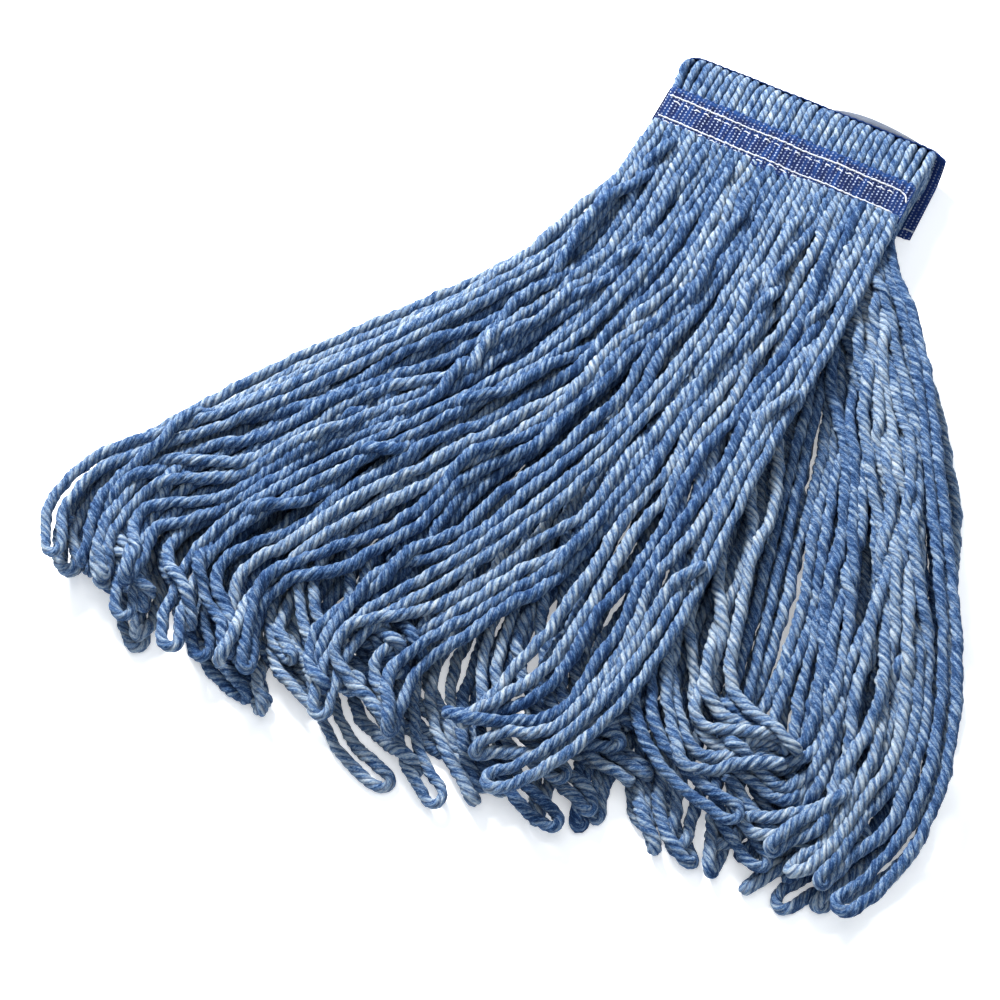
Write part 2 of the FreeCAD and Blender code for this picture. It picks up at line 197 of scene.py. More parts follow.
# ---- headband facts (mm)
BAND_END = -20.0           # the headband's yarns end here, under the tapes
RUN_POINTS = 14            # along a headband yarn's flat run
TURN_STEP = 3              # degrees between the points of its turn
FOLD_PART_DEG = (-24, 27)  # the stretch of the turn that is made as a piece of its own
OVERLAP_DEG = 25.0         # points this far below and above the fold's level are found, but not used
FRONT_CLOTH_T = 1.0
REAR_CLOTH_T = 1.1
CREST_LEFT, CREST_RIGHT = -66.0, 68.0     # the crest falls back beyond these
CORNER = 3.0               # rounding of the front tape's corners
REAR_CORNERS = (5.0, 9.0)  # of the rear tape's, left and right
LIP_DEG = 12               # the rear tape's lip goes on past the hinge by this
LIP_STITCH_DEG = 20.0
PLAIN_LIP = 10.0           # the width of the lip that has no flecks
FLECK_COLUMN, FLECK_ROW = 2.45, 2.2
UPPER_SEAM, LOWER_SEAM = 8.5, 25.0   # below the front tape's upper edge

rng = np.random.default_rng(7)


# ---- camera, floor and light
def linked(name, data):
    """A new object in the scene."""
    obj = bpy.data.objects.new(name, data)
    bpy.context.collection.objects.link(obj)
    return obj


def aim(obj, at):
    """Turns a light or camera at obj.location towards a point."""
    obj.rotation_euler = (Vector(at) - obj.location).to_track_quat("-Z", "Y").to_euler()


camera_data = bpy.data.cameras.new("camera")
camera_data.lens = 75.2
camera_data.sensor_width = 36.0
camera_data.clip_end = 20.0
camera = linked("camera", camera_data)
camera.location = (0.1971, -0.7477, 1.0077)
aim(camera, (-0.0505, -0.2679, -0.0077))
bpy.context.scene.camera = camera


def area_light(name, place, size, power):
    """A soft square light aimed at the middle of the mop."""
    data = bpy.data.lights.new(name, "AREA")
    data.size = size
    data.energy = power
    lamp = linked(name, data)
    lamp.location = place
    aim(lamp, (0, -0.2, 0))


area_light("key", (-1.3, 0.75, 1.3), 0.6, 156)
area_light("fill", (1.2, -1.2, 1.3), 1.4, 7)
area_light("top", (0.0, -0.2, 2.2), 1.6, 16)

world = bpy.data.worlds.new("studio")
bpy.context.scene.world = world
world.use_nodes = True
sky = world.node_tree.nodes["Background"]
sky.inputs["Color"].default_value = (0.76, 0.88, 1.0, 1)
sky.inputs["Strength"].default_value = 0.40
bpy.context.scene.view_settings.view_transform = "Standard"


# ---- node helpers
class Nodes:
    """Builds a material's node tree with short calls."""

    def __init__(self, name):
        self.material = bpy.data.materials.new(name)
        self.material.use_nodes = True
        self.tree = self.material.node_tree
        self.shader = self.tree.nodes["Principled BSDF"]

    def add(self, kind, **settings):
        node = self.tree.nodes.new(kind)
        for key, value in settings.items():
            setattr(node, key, value)
        return node

    def link(self, out, into):
        self.tree.links.new(out, into)

    def feed(self, value, socket):
        """Sets a number or a colour on a socket, or links another node's output to it."""
        if isinstance(value, (int, float)):
            socket.default_value = value
        elif isinstance(value, tuple):
            socket.default_value = (*value, 1)
        else:
            self.link(value, socket)

    def attribute(self, name):
        return self.add("ShaderNodeAttribute", attribute_name=name)

    def noise(self, vector, fineness, detail=2.0, rough=0.5):
        """Noise that is finer along each axis by its own amount."""
        scaled = self.add("ShaderNodeVectorMath", operation="MULTIPLY")
        self.link(vector, scaled.inputs[0])
        scaled.inputs[1].default_value = fineness
        node = self.add("ShaderNodeTexNoise")
        self.link(scaled.outputs[0], node.inputs["Vector"])
        node.inputs["Scale"].default_value = 1.0
        node.inputs["Detail"].default_value = detail
        node.inputs["Roughness"].default_value = rough
        return node.outputs["Fac"]

    def math(self, operation, a, b=None, c=None, clamp=False):
        node = self.add("ShaderNodeMath", operation=operation, use_clamp=clamp)
        for socket, value in zip(node.inputs, (a, b, c)):
            if value is not None:
                self.feed(value, socket)
        return node.outputs[0]

    def above(self, value, edge, slope):
        """0 up to an edge, then rising to 1 at a slope."""
        return self.math("MULTIPLY", self.math("SUBTRACT", value, edge), slope, clamp=True)

    def ramp(self, value, stops):
        node = self.add("ShaderNodeValToRGB")
        self.link(value, node.inputs[0])
        elements = node.color_ramp.elements
        while len(elements) < len(stops):
            elements.new(0.5)
        for element, (place, colour) in zip(elements, stops):
            element.position = place
            element.color = (*colour, 1)
        return node.outputs["Color"]

    def mix(self, share, a, b, kind="MIX"):
        node = self.add("ShaderNodeMix", data_type="RGBA", blend_type=kind)
        for index, value in ((0, share), (6, a), (7, b)):
            self.feed(value, node.inputs[index])
        return node.outputs[2]

    def bump(self, height, strength, distance):
        node = self.add("ShaderNodeBump")
        node.inputs["Strength"].default_value = strength
        node.inputs["Distance"].default_value = distance
        self.link(height, node.inputs["Height"])
        self.link(node.outputs["Normal"], self.shader.inputs["Normal"])

    def finish(self, colour, roughness, sheen=0.0, sheen_tint=(1, 1, 1)):
        self.link(colour, self.shader.inputs["Base Color"])
        self.shader.inputs["Roughness"].default_value = roughness
        self.shader.inputs["Specular IOR Level"].default_value = 0.06
        self.shader.inputs["Sheen Weight"].default_value = sheen
        self.shader.inputs["Sheen Roughness"].default_value = 0.5
        self.shader.inputs["Sheen Tint"].default_value = (*sheen_tint, 1)
        return self.material


def yarn_material():
    """Heathered blue: light, mid and dark fibres drawn out along each ply, with painted shade in
    the grooves between the plies.
    """
    n = Nodes("yarn")
    ply = n.attribute("ply").outputs["Vector"]
    tone = n.attribute("tone").outputs["Fac"]
    rise = n.attribute("rise").outputs["Fac"]
    fibres = n.noise(ply, (0.95, 1.35, 1.35), 4.0, 0.76)
    patches = n.noise(ply, (0.12, 0.30, 0.30), 2.0)
    heather = n.math("MULTIPLY_ADD", n.math("SUBTRACT", patches, 0.5), 0.75, fibres)
    heather = n.math("MULTIPLY_ADD", n.math("SUBTRACT", tone, 0.5), 0.16, heather)
    colour = n.ramp(heather, [
        (0.30, (0.009, 0.030, 0.090)),
        (0.42, (0.042, 0.100, 0.228)),
        (0.52, (0.132, 0.208, 0.334)),
        (0.63, (0.262, 0.334, 0.414)),
        (0.80, (0.470, 0.512, 0.548)),
    ])
    # painted shade: the grooves between the plies, where shade falls, are mixed towards dark navy
    # by the rise attribute
    painted_groove_shade = n.math("SUBTRACT", 1.0, n.math("MULTIPLY", rise, 1.25), clamp=True)
    colour = n.mix(n.math("MULTIPLY", painted_groove_shade, 0.72), colour, (0.003, 0.018, 0.080))
    lint = n.noise(ply, (0.6, 1.1, 1.1), 1.0)
    colour = n.mix(n.above(lint, 0.80, 18.0), colour, (0.46, 0.46, 0.44))
    fine = n.noise(ply, (1.0, 4.2, 4.2), 3.0, 0.65)
    n.bump(n.math("ADD", fibres, fine), 0.9, 0.0008)
    return n.finish(colour, 0.95, 0.05, (0.75, 0.85, 1.0))


def tape_material():
    """Navy cloth with columns of white flecks, worn paler at its upper edge, with painted light on
    its ends, which lie in shade.
    """
    n = Nodes("tape")
    cloth = n.attribute("cloth").outputs["Vector"]
    split = n.add("ShaderNodeSeparateXYZ")
    n.link(cloth, split.inputs[0])
    along, up, share = split.outputs
    wobble = n.noise(cloth, (0.35, 0.35, 0.0), 1.0)
    along_w = n.math("MULTIPLY_ADD", n.math("SUBTRACT", wobble, 0.5), 1.3, along)
    column = n.math("DIVIDE", along_w, FLECK_COLUMN)
    odd = n.math("MULTIPLY", n.math("FLOORED_MODULO", n.math("FLOOR", column), 2.0), 0.85)
    row = n.math("DIVIDE", n.math("ADD", up, odd), FLECK_ROW)
    ex = n.math("DIVIDE", n.math("SUBTRACT", n.math("FRACT", column), 0.5), 0.22)
    ey = n.math("DIVIDE", n.math("SUBTRACT", n.math("FRACT", row), 0.5), 0.30)
    away = n.math("ADD", n.math("MULTIPLY", ex, ex), n.math("MULTIPLY", ey, ey))
    fade = n.noise(cloth, (0.45, 0.22, 0.0), 2.0)
    dots = n.math("MULTIPLY", n.math("SUBTRACT", 1.1, away), 1.5, clamp=True)
    dots = n.math("MULTIPLY", dots, n.above(fade, 0.33, 4.0))
    bands = n.noise(cloth, (0.24, 0.03, 0.0), 2.0)
    colour = n.ramp(bands, [
        (0.34, (0.002, 0.004, 0.022)),
        (0.50, (0.004, 0.009, 0.046)),
        (0.66, (0.007, 0.028, 0.112)),
    ])
    worn = n.noise(cloth, (0.5, 0.5, 0.0), 3.0, 0.6)
    strip = n.math("MULTIPLY", n.above(share, 0.84, 14.0), n.above(worn, 0.36, 5.0))
    colour = n.mix(n.math("MULTIPLY", strip, 0.7), colour, (0.012, 0.050, 0.170))
    dots = n.math("MULTIPLY", dots, n.math("SUBTRACT", 1.0, n.math("MULTIPLY", strip, 0.75)))
    flecked = n.math("MULTIPLY", share, 10.0, clamp=True)
    dots = n.math("MULTIPLY", dots, flecked)
    plain = n.math("SUBTRACT", 1.0, flecked)
    colour = n.mix(n.math("MULTIPLY", plain, 0.7), colour, (0.009, 0.027, 0.105))
    # painted light: the rear tape's ends beyond the front tape, which lie in the front half's
    # shadow, are brightened
    painted_end_light = n.math("SUBTRACT", n.math("ABSOLUTE", along), TAPE_HALF_LENGTH, clamp=True)
    colour = n.mix(painted_end_light, colour, (0.006, 0.018, 0.085), "ADD")
    thread = n.noise(cloth, (1.6, 7.0, 0.0), 2.0)
    colour = n.mix(n.math("MULTIPLY", thread, 0.3), colour, (0.018, 0.036, 0.105))
    colour = n.mix(n.math("MULTIPLY", dots, 0.75), colour, (0.36, 0.42, 0.56))
    n.bump(n.math("ADD", thread, n.math("MULTIPLY", dots, 1.5)), 0.5, 0.0003)
    return n.finish(colour, 0.9)


def thread_material():
    """White twisted sewing thread."""
    n = Nodes("thread")
    ply = n.attribute("ply").outputs["Vector"]
    fine = n.noise(ply, (1.4, 4.0, 4.0), 2.0)
    colour = n.ramp(fine, [(0.3, (0.40, 0.43, 0.50)), (0.7, (0.62, 0.63, 0.66))])
    n.bump(fine, 0.3, 0.0002)
    return n.finish(colour, 0.7, 0.1)


def label_material():
    """Thin white cloth tag with a fine weave."""
    n = Nodes("label")
    place = n.add("ShaderNodeTexCoord").outputs["Object"]
    weave = n.noise(place, (900.0, 900.0, 2600.0), 2.0)
    colour = n.ramp(weave, [(0.3, (0.80, 0.83, 0.83)), (0.7, (0.92, 0.94, 0.93))])
    n.bump(weave, 0.25, 0.0002)
    return n.finish(colour, 0.75)


def floor_material():
    """Plain white sweep, lit a little from behind."""
    n = Nodes("floor")
    place = n.add("ShaderNodeTexCoord").outputs["Object"]
    grain = n.noise(place, (40.0, 40.0, 40.0))
    colour = n.ramp(grain, [(0.0, (0.95, 0.955, 0.96)), (1.0, (0.97, 0.975, 0.98))])
    n.shader.inputs["Emission Color"].default_value = (1, 1, 1, 1)
    n.shader.inputs["Emission Strength"].default_value = 0.34
    return n.finish(colour, 0.9)


YARN = yarn_material()
TAPE = tape_material()
THREAD = thread_material()
LABEL = label_material()

bpy.ops.mesh.primitive_plane_add(size=8, location=(0, 0, 0))
floor = bpy.context.object
floor.name = "floor"
floor.data.materials.append(floor_material())


# ---- routes, as in part.py
def curled(guide, turn, radius):
    """The guide and the arc it goes on round, leftwards where the turn is positive."""
    steps = max(1, round(abs(turn) / 30))
    (before_x, before_y), (x, y) = guide[-2:]
    heading = math.atan2(y - before_y, x - before_x)
    step = math.radians(turn) / steps
    chord = 2 * radius * math.sin(abs(step) / 2)
    found = list(guide)
    for i in range(steps):
        heading += step / 2 if i == 0 else step
        x += chord * math.cos(heading)
        y += chord * math.sin(heading)
        found.append((x, y))
    return found


def normals(guide):
    """The sideways direction at each point of a guide: +X where it runs towards -Y."""
    found = []
    for i in range(len(guide)):
        a = guide[max(i - 1, 0)]
        b = guide[min(i + 1, len(guide) - 1)]
        length = math.hypot(b[0] - a[0], b[1] - a[1])
        found.append((-(b[1] - a[1]) / length, (b[0] - a[0]) / length))
    found[0] = (1.0, 0.0)
    return found


def fanned(guide, tip_spacing):
    """The spacing of the strands, and how open their loops are, at each point of a guide."""
    gone = [0.0]
    for a, b in zip(guide, guide[1:]):
        gone.append(gone[-1] + math.hypot(b[0] - a[0], b[1] - a[1]))
    found = []
    for distance in gone:
        u = distance / gone[-1]
        found.append((PITCH + (tip_spacing - PITCH) * u * u * (3 - 2 * u), OPENING * u * u))
    return found


def height(x, y, layer):
    """Height of a layer's strands over (x, y).  The pile is crowned, and heaped at its right."""
    reach = min(math.hypot(x, y - FREE_START_Y) / STRAND_REACH, 1.0)
    heap = ((x - HEAP_AT[0]) ** 2 + (y - HEAP_AT[1]) ** 2) / HEAP_SIZE ** 2
    rise = 1 + CROWN * math.sin(math.pi * reach) + HEAP * math.exp(-heap)
    return YARN_D / 2 + layer * PILE_PITCH_Z * rise


def loop_route(guide, number, tip, tip_spacing, layer):
    """The route of one of a lock's four loops: out along one strand, round, and back."""
    across = normals(guide)
    sides = []
    for strand in (2 * number, 2 * number + 1):
        side = []
        for (x, y), (nx, ny), (spread, opening) in zip(guide, across, fanned(guide, tip_spacing)):
            middle = (number - 1.5) * 2 * spread
            offset = middle + (strand % 2 - 0.5) * spread * (1 + opening)
            side.append((x + nx * offset, y + ny * offset))
        sides.append(side)
    left, right = sides
    nx, ny = across[-1]
    fx, fy = ny, -nx
    for side, sign in ((left, -1), (right, 1)):
        x, y = side[-1]
        side[-1] = (x + fx * tip, y + fy * tip)
        side.append((x + fx * (tip + 15) + sign * 0.3 * nx, y + fy * (tip + 15) + sign * 0.3 * ny))
    return [(x, y, height(x, y, layer)) for x, y in left + right[::-1]]


def loosened(route):
    """The same route swayed a little, both sides together, and lifted to lie on the ground."""
    count = len(route)
    swayed = list(route)
    phase = rng.uniform(0, 6.28)
    for i in range(2, count // 2 - 2):
        j = count - 1 - i
        ax, ay, _ = route[i - 1]
        bx, by, _ = route[i + 1]
        length = math.hypot(bx - ax, by - ay)
        sway = SWAY * math.sin(i * 1.25 + phase)
        for k in (i, j):
            x, y, z = route[k]
            swayed[k] = (x - (by - ay) / length * sway, y + (bx - ax) / length * sway, z)
    return [(x, y, max(z, RIDGE_R)) for x, y, z in swayed]


def spline_points(route):
    """Close points along the smooth NURBS line that has the route's points as control points."""
    data = bpy.data.curves.new("route", "CURVE")
    data.dimensions = "3D"
    data.resolution_u = 14
    spline = data.splines.new("NURBS")
    spline.points.add(len(route) - 1)
    for point, place in zip(spline.points, route):
        point.co = (place[0] * MM, place[1] * MM, place[2] * MM, 1)
    spline.order_u = 3
    spline.use_endpoint_u = True
    holder = linked("route", data)
    mesh = bpy.data.meshes.new_from_object(holder)
    points = np.empty(len(mesh.vertices) * 3)
    mesh.vertices.foreach_get("co", points)
    bpy.data.objects.remove(holder)
    bpy.data.curves.remove(data)
    bpy.data.meshes.remove(mesh)
    return points.reshape(-1, 3) / MM


def distances(points):
    """How far along a line each of its points is."""
    return np.concatenate([[0], np.cumsum(np.linalg.norm(np.diff(points, axis=0), axis=1))])


def resample(points, step):
    """The same line at even steps."""
    length = distances(points)
    count = max(int(round(length[-1] / step)), 4)
    at = np.linspace(0, length[-1], count + 1)
    return np.stack([np.interp(at, length, points[:, k]) for k in range(3)], 1)


def smooth(points, passes):
    """Evens out a line, ends held."""
    for _ in range(passes):
        points[1:-1] += 0.5 * ((points[:-2] + points[2:]) / 2 - points[1:-1])
    return points


# ---- settling
def near_pairs(points, reach):
    """Index pairs of points nearer than reach."""
    cell = np.floor(points / reach).astype(np.int64)
    cell -= cell.min(0) - 1
    size = cell.max(0) + 2
    key = (cell[:, 0] * size[1] + cell[:, 1]) * size[2] + cell[:, 2]
    order = np.argsort(key, kind="stable")
    ranked = key[order]
    first, second = [], []
    for dx, dy, dz in itertools.product((-1, 0, 1), repeat=3):
        shift = (dx * size[1] + dy) * size[2] + dz
        if shift < 0:
            continue
        low = np.searchsorted(ranked, key + shift, "left")
        high = np.searchsorted(ranked, key + shift, "right")
        count = high - low
        one = np.repeat(np.arange(len(points)), count)
        start = np.repeat(low - np.concatenate([[0], np.cumsum(count)[:-1]]), count)
        two = order[start + np.arange(count.sum())]
        if shift == 0:
            keep = one < two
            one, two = one[keep], two[keep]
        first.append(one)
        second.append(two)
    one, two = np.concatenate(first), np.concatenate(second)
    keep = ((points[one] - points[two]) ** 2).sum(1) < reach * reach
    return one[keep], two[keep]


def settle(lines, held, rounds):
    """Moves the yarns' centre lines apart until they only touch, with the held lines fixed."""
    count = [len(line) for line in lines]
    owner = np.repeat(np.arange(len(lines)), count)
    start = np.concatenate([[0], np.cumsum(count)])
    place = np.concatenate(lines)
    along = np.concatenate([np.arange(c) for c in count])
    free = np.ones(len(place))
    for i, c in enumerate(count):
        ramp = np.clip((np.minimum(np.arange(c), np.arange(c)[::-1]) - 3) / 6.0, 0, 1)
        free[start[i]:start[i + 1]] = 0.0 if i in held else ramp
    inner = np.flatnonzero((along > 0) & (along < np.array(count)[owner] - 1))
    link = np.flatnonzero(along > 0)
    rest = np.linalg.norm(place[link] - place[link - 1], axis=1)
    for turn in range(rounds):
        if turn % 6 == 0:
            one, two = near_pairs(place, CONTACT + 1.8)
            apart = (owner[one] != owner[two]) | (np.abs(along[one] - along[two]) > 5)
            one, two = one[apart], two[apart]
        # Apart, where two touch.
        gap = place[one] - place[two]
        far = np.sqrt((gap ** 2).sum(1)) + 1e-9
        hit = far < CONTACT
        a, b = one[hit], two[hit]
        weight = free[a] + free[b] + 1e-9
        push = gap[hit] * ((CONTACT - far[hit]) / far[hit] / weight)[:, None] * 0.6
        move = np.zeros_like(place)
        hits = np.zeros(len(place))
        np.add.at(move, a, push * free[a][:, None])
        np.add.at(move, b, -push * free[b][:, None])
        np.add.at(hits, a, 1)
        np.add.at(hits, b, 1)
        place += move / np.maximum(hits, 1)[:, None] ** 0.5
        # Back to their own length.
        gap = place[link] - place[link - 1]
        far = np.linalg.norm(gap, axis=1) + 1e-9
        weight = free[link] + free[link - 1] + 1e-9
        tug = gap * ((far - rest) / far / weight)[:, None] * 0.5
        move = np.zeros_like(place)
        move[link] -= tug * free[link][:, None]
        move[link - 1] += tug * free[link - 1][:, None]
        place += move
        # Straighter, and down to the ground.
        bend = (place[inner - 1] + place[inner + 1]) / 2 - place[inner]
        place[inner] += BEND_STIFFNESS * bend * free[inner][:, None]
        place[:, 2] -= SINK * free
        place[:, 2] = np.where(free > 0, np.maximum(place[:, 2], RIDGE_R - 0.15), place[:, 2])
    return [place[start[i]:start[i + 1]] for i in range(len(lines))]


def waves(strength):
    """A layer's own set of broad waves that draw its yarns into clumps."""
    return [(k, strength, rng.uniform(260, 480) * rng.choice((-1, 1)), rng.uniform(0, 6.28))
            for k in (43.0, 71.0, 118.0)]


def pull(points, field):
    """How far each point is drawn sideways by the waves, as a share of its distance."""
    out = np.hypot(points[:, 0], points[:, 1] - 150)
    bearing = np.arctan2(points[:, 0], 150 - points[:, 1])
    return sum(strength / k * np.sin(bearing * k + out / long * 2 * math.pi + phase)
               for k, strength, long, phase in field) * out


def turned(vectors, angles):
    """Vectors turned about the vertical, each by its own angle."""
    c, s = np.cos(angles), np.sin(angles)
    x, y, z = vectors.T
    return np.stack([x * c - y * s, x * s + y * c, z], 1)


def wander(points, field, amount, curl, shift, drift):
    """Lays a limp loop loosely: waving, drawn into clumps, its tip twisted and curled on.

    shift is how far its tip is gathered towards its lock's guide, and the share by which its two
    sides close there.  drift is how far it lies aside halfway along it, and at its tip.
    """
    half = (len(points) + 1) // 2
    middle = ((points + points[::-1]) / 2)[:half]
    aside = ((points - points[::-1]) / 2)[:half]
    legs = np.diff(middle, axis=0)
    at = distances(middle)
    to_tip = at[-1] - at
    curl = (curl + rng.normal(0, 0.30)) * np.clip(1 - to_tip / rng.uniform(45, 65), 0, 1)
    middle[1:] = middle[0] + np.cumsum(turned(legs, (curl[1:] + curl[:-1]) / 2), axis=0)
    aside = turned(aside, curl)
    down = np.gradient(middle, axis=0)
    down /= np.linalg.norm(down, axis=1)[:, None] + 1e-9
    tip = np.clip(1 - to_tip / rng.uniform(45, 75), 0, 1)
    tip = tip * tip * (3 - 2 * tip)
    roll = tip * rng.uniform(0.4, 2.0) * rng.choice((-1, 1))
    aside = aside * np.cos(roll)[:, None] + np.cross(down, aside) * np.sin(roll)[:, None]
    side = np.stack([-down[:, 1], down[:, 0], np.zeros(half)], 1)
    gone = at / at[-1]
    middle += side * (drift[0] * np.sin(gone * math.pi) ** 1.5 + drift[1] * gone ** 3)[:, None]
    gathered = np.clip(1 - to_tip / 110.0, 0, 1) ** 1.5
    middle -= side * (shift[0] * gathered)[:, None]
    aside *= (1 - shift[1] * gathered)[:, None]
    loose = np.clip(at / 42.0, 0, 1)
    sides = []
    for sign in (1, -1):
        line = middle + sign * aside
        sway = pull(line, field) * loose
        lift = tip * 2.0 + 2.5 * np.exp(-((at - 45) / 26.0) ** 2)
        fade = loose * np.clip(to_tip / 40.0, 0, 1)
        for wave, share in WAVELENGTHS:
            sway += fade * amount * share * np.sin(at / wave * 2 * math.pi + rng.uniform(0, 6.28))
            lift += 1.1 * fade * share * np.sin(at / wave * 2 * math.pi + rng.uniform(0, 6.28))
        line += side * sway[:, None]
        line[:, 2] += lift
        sides.append(line)
    high = tip * rng.uniform(-3.0, 3.0)
    for line in sides:
        line[:, 2] += high
    return np.concatenate([sides[0], sides[1][:len(points) - half][::-1]])


# ---- twisted yarn as mesh
def frames(points):
    """Unit vectors along a line that doesn't start upright, and across it, never twisting."""
    along = np.gradient(points, axis=0)
    along /= np.linalg.norm(along, axis=1)[:, None]
    normal = np.empty_like(along)
    start = np.cross(along[0], (0.0, 0.0, 1.0))
    normal[0] = start / np.linalg.norm(start)
    for i in range(1, len(points)):
        carried = normal[i - 1] - along[i] * (normal[i - 1] @ along[i])
        normal[i] = carried / np.linalg.norm(carried)
    return along, normal, np.cross(along, normal)


def section(sides, plies, ridge, valley):
    """Radius at each point round a yarn: plies rounded lobes with grooves between them."""
    angle = np.arange(sides) * 2 * math.pi / sides
    lobe = np.abs(np.sin(angle * plies / 2)) ** 0.55
    return angle, valley + (ridge - valley) * lobe, lobe


def twist(line, s, seed, profile, pitch, kink, fuzz):
    """One yarn's rings of points: it kinks and swells, and its plies turn round it."""
    angle, radius, lobe, plies = profile
    along, across, up = frames(line)
    kink_across = kink * (np.sin(s / 2.9 + seed) + np.sin(s / 6.4 + 3 * seed))
    kink_up = kink * (np.sin(s / 3.3 + 2 * seed) + np.sin(s / 7.3 + 5 * seed))
    line = line + kink_across[:, None] * across
    line += kink_up[:, None] * up
    swell = 1 + 0.07 * np.sin(s / 19.0 + seed) + 0.05 * np.sin(s / 7.3 + 2 * seed)
    turn = -2 * math.pi * (s + 2.4 * np.sin(s / 31.0 + seed)) / pitch + seed
    a = angle[None, :] + turn[:, None]
    which = np.floor(np.arange(len(angle)) * plies / len(angle))
    fat = 0.09 * np.sin(s[:, None] / 6.0 + which[None, :] * 1.9 + seed)
    r = radius[None, :] * (swell[:, None] + fat * lobe[None, :])
    r += fuzz * rng.normal(0, 1, r.shape)
    return (line[:, None, :] + (r * np.cos(a))[:, :, None] * across[:, None, :]
            + (r * np.sin(a))[:, :, None] * up[:, None, :])


def tubes(name, rings):
    """A mesh of closed tubes, one for each yarn's rings, with a flat face at each end."""
    sides = rings[0].shape[1]
    j = np.arange(sides)[None, :]
    k = (j + 1) % sides
    faces, ends = [], []
    first = 0
    for count in map(len, rings):
        i = np.arange(count - 1)[:, None]
        quads = np.stack([i * sides + j, i * sides + k, (i + 1) * sides + k,
                          (i + 1) * sides + j], -1).reshape(-1, 4)
        faces.append(quads + first)
        ends.append(list(range(first + sides - 1, first - 1, -1)))
        ends.append(list(range(first + (count - 1) * sides, first + count * sides)))
        first += count * sides
    faces = np.concatenate(faces)
    mesh = bpy.data.meshes.new(name)
    mesh.vertices.add(first)
    places = np.concatenate([ring.reshape(-1, 3) for ring in rings]) * MM
    mesh.vertices.foreach_set("co", places.ravel())
    mesh.loops.add(len(faces) * 4 + len(ends) * sides)
    mesh.loops.foreach_set("vertex_index",
                           np.concatenate([faces.ravel(), np.array(ends).ravel()]))
    mesh.polygons.add(len(faces) + len(ends))
    starts = np.concatenate([np.arange(len(faces)) * 4,
                             len(faces) * 4 + np.arange(len(ends)) * sides])
    mesh.polygons.foreach_set("loop_start", starts)
    mesh.update(calc_edges=True)
    mesh.shade_smooth()
    return mesh


def unwrap(mesh, runs, sides, ridge):
    """Lays the yarns' surfaces out as columns side by side, cut to make a square."""
    total = sum(s[-1] for s in runs)
    width = 2 * math.pi * ridge
    columns = max(int(math.ceil(math.sqrt(total / width))), 1)
    length = total / columns * 1.02 + 2.0
    uv = []
    done = 0.0
    for s in runs:
        low, high = s[:-1] + done, s[1:] + done
        column = np.floor(low / length)
        u = (column[:, None] + 0.04 + 0.92 * np.arange(sides + 1)[None, :] / sides) / columns
        v0 = (low - column * length) / (length + 4.0)
        v1 = (high - column * length) / (length + 4.0)
        quad = np.empty((len(s) - 1, sides, 4, 2))
        quad[:, :, 0, 0] = quad[:, :, 3, 0] = u[:, :-1]
        quad[:, :, 1, 0] = quad[:, :, 2, 0] = u[:, 1:]
        quad[:, :, 0, 1] = quad[:, :, 1, 1] = v0[:, None]
        quad[:, :, 2, 1] = quad[:, :, 3, 1] = v1[:, None]
        uv.append(quad.reshape(-1, 2))
        done += s[-1]
    around = np.arange(sides) * 2 * math.pi / sides
    cap = np.stack([0.5 + 0.4 * np.cos(around), 0.5 + 0.4 * np.sin(around)], 1)
    uv += [cap * 0.004 + 0.994] * (2 * len(runs))
    layer = mesh.uv_layers.new(name="OFBake")
    layer.data.foreach_set("uv", np.clip(np.concatenate(uv), 0, 1).ravel())


def rope(name, lines, sides=16, step=1.3, plies=4, ridge=RIDGE_R, valley=VALLEY_R,
         pitch=TWIST_PITCH, material=YARN, tones=None, kink=0.30, fuzz=0.14):
    """One mesh of twisted yarns that follow the given lines."""
    angle, radius, lobe = section(sides, plies, ridge, valley)
    rings, runs, rises, shades, plys = [], [], [], [], []
    for number, line in enumerate(lines):
        line = smooth(resample(line, step), 2)
        s = distances(line)
        seed = rng.uniform(0, 1000)
        rings.append(twist(line, s, seed, (angle, radius, lobe, plies), pitch, kink, fuzz))
        runs.append(s)
        ply = np.empty((len(s), sides, 3))
        ply[:, :, 0] = (s + 997.0 * seed)[:, None]
        ply[:, :, 1] = np.cos(angle) * ridge
        ply[:, :, 2] = np.sin(angle) * ridge
        plys.append(ply.reshape(-1, 3))
        # rise is how high a point stands on its ply's lobe; the yarn material paints shade into
        # the grooves with it
        rises.append(np.tile(lobe, len(s)))
        shade = rng.uniform() if tones is None else tones[number]
        shades.append(np.full(len(s) * sides, shade))
    mesh = tubes(name, rings)
    values = mesh.attributes.new("ply", "FLOAT_VECTOR", "POINT")
    values.data.foreach_set("vector", np.concatenate(plys).ravel())
    for label, data in (("rise", rises), ("tone", shades)):
        values = mesh.attributes.new(label, "FLOAT", "POINT")
        values.data.foreach_set("value", np.concatenate(data))
    unwrap(mesh, runs, sides, ridge)
    mesh.materials.append(material)
    return linked(name, mesh)


